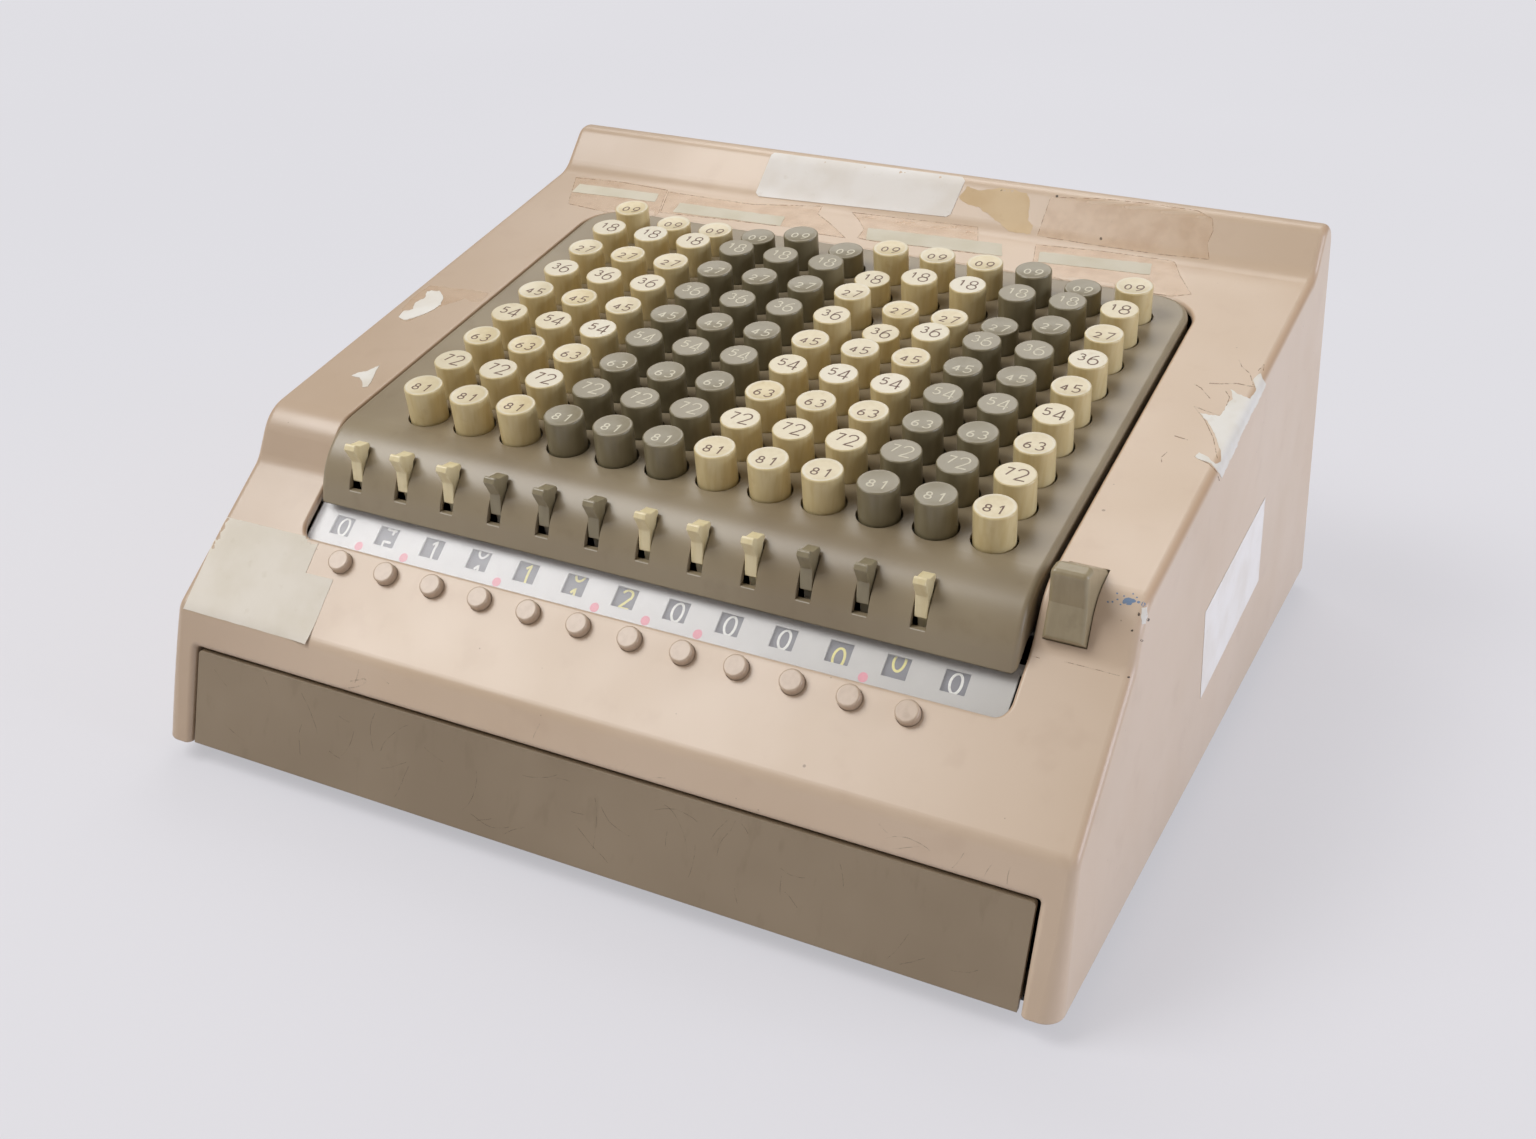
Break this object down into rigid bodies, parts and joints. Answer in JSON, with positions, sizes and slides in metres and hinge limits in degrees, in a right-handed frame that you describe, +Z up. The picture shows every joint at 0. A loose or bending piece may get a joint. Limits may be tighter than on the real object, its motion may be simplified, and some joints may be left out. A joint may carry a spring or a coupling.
{
  "type": "key-driven calculator",
  "caption": "Desktop calculator worked by pressing column keys, with a sloping keyboard, a window of number wheels, cut-off tabs, decimal pegs and a clear key in a painted casing.",
  "frame": {"origin": "bottom centre of the whole machine, on the table under its middle", "axes": "+X to the user's right, +Y away from the user, +Z up"},
  "size_m": [0.3508, 0.316, 0.1607],
  "materials": {
    "casing_paint": "worn satin enamel",
    "cover_paint": "satin enamel",
    "panel_paint": "scratched satin enamel",
    "steel": "plain zinc-plated steel",
    "black_steel": "black paint",
    "window": "clear acrylic strip",
    "dial_plate": "pale grey satin paint",
    "wheel_black": "dark grey moulded plastic",
    "key_cream": "aged cream plastic",
    "key_olive": "olive-grey plastic",
    "tab_cream": "aged cream plastic",
    "tab_olive": "olive plastic",
    "peg": "beige plastic",
    "clear_key": "olive-grey plastic",
    "rubber": "moulded rubber"
  },
  "bodies": {
    "root": {"outer_casing": "casing_paint", "keyboard_cover": "cover_paint", "front_panel": "panel_paint", "base_plate": "black_steel", "left_side_frame": "steel", "right_side_frame": "steel", "display_window": "window", "dial_mask": "dial_plate", "upper_key_guide": "steel", "lower_key_guide": "steel", "lever_shaft": "steel", "dial_shaft": "steel", "tab_shaft": "steel", "tie_rods": "steel", "rubber_feet": "rubber", "base_screws": "steel"},
    "keys_01": {"keys_column_01": "key_cream"},
    "keys_02": {"keys_column_02": "key_cream"},
    "keys_03": {"keys_column_03": "key_cream"},
    "keys_04": {"keys_column_04": "key_olive"},
    "keys_05": {"keys_column_05": "key_olive"},
    "keys_06": {"keys_column_06": "key_olive"},
    "keys_07": {"keys_column_07": "key_cream"},
    "keys_08": {"keys_column_08": "key_cream"},
    "keys_09": {"keys_column_09": "key_cream"},
    "keys_10": {"keys_column_10": "key_olive"},
    "keys_11": {"keys_column_11": "key_olive"},
    "keys_12": {"keys_column_12": "key_cream"},
    "lever_01": {"column_lever_01": "steel"},
    "lever_02": {"column_lever_02": "steel"},
    "lever_03": {"column_lever_03": "steel"},
    "lever_04": {"column_lever_04": "steel"},
    "lever_05": {"column_lever_05": "steel"},
    "lever_06": {"column_lever_06": "steel"},
    "lever_07": {"column_lever_07": "steel"},
    "lever_08": {"column_lever_08": "steel"},
    "lever_09": {"column_lever_09": "steel"},
    "lever_10": {"column_lever_10": "steel"},
    "lever_11": {"column_lever_11": "steel"},
    "lever_12": {"column_lever_12": "steel"},
    "wheel_01": {"number_wheel_01": "wheel_black"},
    "wheel_02": {"number_wheel_02": "wheel_black"},
    "wheel_03": {"number_wheel_03": "wheel_black"},
    "wheel_04": {"number_wheel_04": "wheel_black"},
    "wheel_05": {"number_wheel_05": "wheel_black"},
    "wheel_06": {"number_wheel_06": "wheel_black"},
    "wheel_07": {"number_wheel_07": "wheel_black"},
    "wheel_08": {"number_wheel_08": "wheel_black"},
    "wheel_09": {"number_wheel_09": "wheel_black"},
    "wheel_10": {"number_wheel_10": "wheel_black"},
    "wheel_11": {"number_wheel_11": "wheel_black"},
    "wheel_12": {"number_wheel_12": "wheel_black"},
    "wheel_13": {"number_wheel_13": "wheel_black"},
    "tabs_01_03": {"tabs_01_03": "tab_cream"},
    "tabs_04_06": {"tabs_04_06": "tab_olive"},
    "tabs_07_09": {"tabs_07_09": "tab_cream"},
    "tabs_10_11": {"tabs_10_11": "tab_olive"},
    "tabs_12": {"tabs_12": "tab_cream"},
    "pegs": {"decimal_pegs": "peg"},
    "clear_key": {"clear_key": "clear_key"}
  },
  "joints": [
    {"name": "keys_01_press", "type": "slide", "parent": "root", "child": "keys_01", "axis": [0, 0.1633, -0.9866], "range_m": [0, 0.006], "stiffness_N_per_m": 300, "springref_m": -0.01},
    {"name": "keys_02_press", "type": "slide", "parent": "root", "child": "keys_02", "axis": [0, 0.1633, -0.9866], "range_m": [0, 0.006], "stiffness_N_per_m": 300, "springref_m": -0.01},
    {"name": "keys_03_press", "type": "slide", "parent": "root", "child": "keys_03", "axis": [0, 0.1633, -0.9866], "range_m": [0, 0.006], "stiffness_N_per_m": 300, "springref_m": -0.01},
    {"name": "keys_04_press", "type": "slide", "parent": "root", "child": "keys_04", "axis": [0, 0.1633, -0.9866], "range_m": [0, 0.006], "stiffness_N_per_m": 300, "springref_m": -0.01},
    {"name": "keys_05_press", "type": "slide", "parent": "root", "child": "keys_05", "axis": [0, 0.1633, -0.9866], "range_m": [0, 0.006], "stiffness_N_per_m": 300, "springref_m": -0.01},
    {"name": "keys_06_press", "type": "slide", "parent": "root", "child": "keys_06", "axis": [0, 0.1633, -0.9866], "range_m": [0, 0.006], "stiffness_N_per_m": 300, "springref_m": -0.01},
    {"name": "keys_07_press", "type": "slide", "parent": "root", "child": "keys_07", "axis": [0, 0.1633, -0.9866], "range_m": [0, 0.006], "stiffness_N_per_m": 300, "springref_m": -0.01},
    {"name": "keys_08_press", "type": "slide", "parent": "root", "child": "keys_08", "axis": [0, 0.1633, -0.9866], "range_m": [0, 0.006], "stiffness_N_per_m": 300, "springref_m": -0.01},
    {"name": "keys_09_press", "type": "slide", "parent": "root", "child": "keys_09", "axis": [0, 0.1633, -0.9866], "range_m": [0, 0.006], "stiffness_N_per_m": 300, "springref_m": -0.01},
    {"name": "keys_10_press", "type": "slide", "parent": "root", "child": "keys_10", "axis": [0, 0.1633, -0.9866], "range_m": [0, 0.006], "stiffness_N_per_m": 300, "springref_m": -0.01},
    {"name": "keys_11_press", "type": "slide", "parent": "root", "child": "keys_11", "axis": [0, 0.1633, -0.9866], "range_m": [0, 0.006], "stiffness_N_per_m": 300, "springref_m": -0.01},
    {"name": "keys_12_press", "type": "slide", "parent": "root", "child": "keys_12", "axis": [0, 0.1633, -0.9866], "range_m": [0, 0.006], "stiffness_N_per_m": 300, "springref_m": -0.01},
    {"name": "lever_01_swing", "type": "hinge", "parent": "root", "child": "lever_01", "pos_m": [-0.0994, 0.11729, 0.09575], "axis": [1, 0, 0], "range_deg": [-0.5, 7.3]},
    {"name": "lever_02_swing", "type": "hinge", "parent": "root", "child": "lever_02", "pos_m": [-0.08035, 0.11729, 0.09575], "axis": [1, 0, 0], "range_deg": [-0.5, 7.3]},
    {"name": "lever_03_swing", "type": "hinge", "parent": "root", "child": "lever_03", "pos_m": [-0.0613, 0.11729, 0.09575], "axis": [1, 0, 0], "range_deg": [-0.5, 7.3]},
    {"name": "lever_04_swing", "type": "hinge", "parent": "root", "child": "lever_04", "pos_m": [-0.04225, 0.11729, 0.09575], "axis": [1, 0, 0], "range_deg": [-0.5, 7.3]},
    {"name": "lever_05_swing", "type": "hinge", "parent": "root", "child": "lever_05", "pos_m": [-0.0232, 0.11729, 0.09575], "axis": [1, 0, 0], "range_deg": [-0.5, 7.3]},
    {"name": "lever_06_swing", "type": "hinge", "parent": "root", "child": "lever_06", "pos_m": [-0.00415, 0.11729, 0.09575], "axis": [1, 0, 0], "range_deg": [-0.5, 7.3]},
    {"name": "lever_07_swing", "type": "hinge", "parent": "root", "child": "lever_07", "pos_m": [0.0149, 0.11729, 0.09575], "axis": [1, 0, 0], "range_deg": [-0.5, 7.3]},
    {"name": "lever_08_swing", "type": "hinge", "parent": "root", "child": "lever_08", "pos_m": [0.03395, 0.11729, 0.09575], "axis": [1, 0, 0], "range_deg": [-0.5, 7.3]},
    {"name": "lever_09_swing", "type": "hinge", "parent": "root", "child": "lever_09", "pos_m": [0.053, 0.11729, 0.09575], "axis": [1, 0, 0], "range_deg": [-0.5, 7.3]},
    {"name": "lever_10_swing", "type": "hinge", "parent": "root", "child": "lever_10", "pos_m": [0.07205, 0.11729, 0.09575], "axis": [1, 0, 0], "range_deg": [-0.5, 7.3]},
    {"name": "lever_11_swing", "type": "hinge", "parent": "root", "child": "lever_11", "pos_m": [0.0911, 0.11729, 0.09575], "axis": [1, 0, 0], "range_deg": [-0.5, 7.3]},
    {"name": "lever_12_swing", "type": "hinge", "parent": "root", "child": "lever_12", "pos_m": [0.11015, 0.11729, 0.09575], "axis": [1, 0, 0], "range_deg": [-0.5, 7.3]},
    {"name": "wheel_01_turn", "type": "hinge", "parent": "root", "child": "wheel_01", "pos_m": [-0.1173, -0.09672, 0.06745], "axis": [1, 0, 0], "range_deg": [-36.4, 3]},
    {"name": "wheel_02_turn", "type": "hinge", "parent": "root", "child": "wheel_02", "pos_m": [-0.09825, -0.09672, 0.06745], "axis": [1, 0, 0], "range_deg": [-328, 3]},
    {"name": "wheel_03_turn", "type": "hinge", "parent": "root", "child": "wheel_03", "pos_m": [-0.0792, -0.09672, 0.06745], "axis": [1, 0, 0], "range_deg": [-328, 3]},
    {"name": "wheel_04_turn", "type": "hinge", "parent": "root", "child": "wheel_04", "pos_m": [-0.06015, -0.09672, 0.06745], "axis": [1, 0, 0], "range_deg": [-328, 3]},
    {"name": "wheel_05_turn", "type": "hinge", "parent": "root", "child": "wheel_05", "pos_m": [-0.0411, -0.09672, 0.06745], "axis": [1, 0, 0], "range_deg": [-328, 3]},
    {"name": "wheel_06_turn", "type": "hinge", "parent": "root", "child": "wheel_06", "pos_m": [-0.02205, -0.09672, 0.06745], "axis": [1, 0, 0], "range_deg": [-328, 3]},
    {"name": "wheel_07_turn", "type": "hinge", "parent": "root", "child": "wheel_07", "pos_m": [-0.003, -0.09672, 0.06745], "axis": [1, 0, 0], "range_deg": [-328, 3]},
    {"name": "wheel_08_turn", "type": "hinge", "parent": "root", "child": "wheel_08", "pos_m": [0.01605, -0.09672, 0.06745], "axis": [1, 0, 0], "range_deg": [-328, 3]},
    {"name": "wheel_09_turn", "type": "hinge", "parent": "root", "child": "wheel_09", "pos_m": [0.0351, -0.09672, 0.06745], "axis": [1, 0, 0], "range_deg": [-328, 3]},
    {"name": "wheel_10_turn", "type": "hinge", "parent": "root", "child": "wheel_10", "pos_m": [0.05415, -0.09672, 0.06745], "axis": [1, 0, 0], "range_deg": [-328, 3]},
    {"name": "wheel_11_turn", "type": "hinge", "parent": "root", "child": "wheel_11", "pos_m": [0.0732, -0.09672, 0.06745], "axis": [1, 0, 0], "range_deg": [-328, 3]},
    {"name": "wheel_12_turn", "type": "hinge", "parent": "root", "child": "wheel_12", "pos_m": [0.09225, -0.09672, 0.06745], "axis": [1, 0, 0], "range_deg": [-328, 3]},
    {"name": "wheel_13_turn", "type": "hinge", "parent": "root", "child": "wheel_13", "pos_m": [0.1113, -0.09672, 0.06745], "axis": [1, 0, 0], "range_deg": [-328, 3]},
    {"name": "tabs_01_03_tilt", "type": "hinge", "parent": "root", "child": "tabs_01_03", "pos_m": [0, -0.081, 0.088], "axis": [1, 0, 0], "range_deg": [0, 6], "stiffness_Nm_per_rad": 0.2, "springref_deg": -5.73},
    {"name": "tabs_04_06_tilt", "type": "hinge", "parent": "root", "child": "tabs_04_06", "pos_m": [0, -0.081, 0.088], "axis": [1, 0, 0], "range_deg": [0, 6], "stiffness_Nm_per_rad": 0.2, "springref_deg": -5.73},
    {"name": "tabs_07_09_tilt", "type": "hinge", "parent": "root", "child": "tabs_07_09", "pos_m": [0, -0.081, 0.088], "axis": [1, 0, 0], "range_deg": [0, 6], "stiffness_Nm_per_rad": 0.2, "springref_deg": -5.73},
    {"name": "tabs_10_11_tilt", "type": "hinge", "parent": "root", "child": "tabs_10_11", "pos_m": [0, -0.081, 0.088], "axis": [1, 0, 0], "range_deg": [0, 6], "stiffness_Nm_per_rad": 0.2, "springref_deg": -5.73},
    {"name": "tabs_12_tilt", "type": "hinge", "parent": "root", "child": "tabs_12", "pos_m": [0, -0.081, 0.088], "axis": [1, 0, 0], "range_deg": [0, 6], "stiffness_Nm_per_rad": 0.2, "springref_deg": -5.73},
    {"name": "pegs_press", "type": "slide", "parent": "root", "child": "pegs", "axis": [0, 0.6157, -0.788], "range_m": [0, 0.0015]},
    {"name": "clear_key_press", "type": "slide", "parent": "root", "child": "clear_key", "axis": [0, 0.7848, -0.6198], "range_m": [0, 0.0035], "stiffness_N_per_m": 400, "springref_m": -0.006}
  ],
  "couplings": [
    {"joint": "lever_01_swing", "follows": "keys_01_press", "rad_per_m": 20},
    {"joint": "lever_02_swing", "follows": "keys_02_press", "rad_per_m": 20},
    {"joint": "lever_03_swing", "follows": "keys_03_press", "rad_per_m": 20},
    {"joint": "lever_04_swing", "follows": "keys_04_press", "rad_per_m": 20},
    {"joint": "lever_05_swing", "follows": "keys_05_press", "rad_per_m": 20},
    {"joint": "lever_06_swing", "follows": "keys_06_press", "rad_per_m": 20},
    {"joint": "lever_07_swing", "follows": "keys_07_press", "rad_per_m": 20},
    {"joint": "lever_08_swing", "follows": "keys_08_press", "rad_per_m": 20},
    {"joint": "lever_09_swing", "follows": "keys_09_press", "rad_per_m": 20},
    {"joint": "lever_10_swing", "follows": "keys_10_press", "rad_per_m": 20},
    {"joint": "lever_11_swing", "follows": "keys_11_press", "rad_per_m": 20},
    {"joint": "lever_12_swing", "follows": "keys_12_press", "rad_per_m": 20},
    {"joint": "wheel_01_turn", "follows": "keys_01_press", "rad_per_m": -94.248},
    {"joint": "wheel_02_turn", "follows": "keys_01_press", "rad_per_m": -942.48},
    {"joint": "wheel_03_turn", "follows": "keys_02_press", "rad_per_m": -942.48},
    {"joint": "wheel_04_turn", "follows": "keys_03_press", "rad_per_m": -942.48},
    {"joint": "wheel_05_turn", "follows": "keys_04_press", "rad_per_m": -942.48},
    {"joint": "wheel_06_turn", "follows": "keys_05_press", "rad_per_m": -942.48},
    {"joint": "wheel_07_turn", "follows": "keys_06_press", "rad_per_m": -942.48},
    {"joint": "wheel_08_turn", "follows": "keys_07_press", "rad_per_m": -942.48},
    {"joint": "wheel_09_turn", "follows": "keys_08_press", "rad_per_m": -942.48},
    {"joint": "wheel_10_turn", "follows": "keys_09_press", "rad_per_m": -942.48},
    {"joint": "wheel_11_turn", "follows": "keys_10_press", "rad_per_m": -942.48},
    {"joint": "wheel_12_turn", "follows": "keys_11_press", "rad_per_m": -942.48},
    {"joint": "wheel_13_turn", "follows": "keys_12_press", "rad_per_m": -942.48}
  ]
}
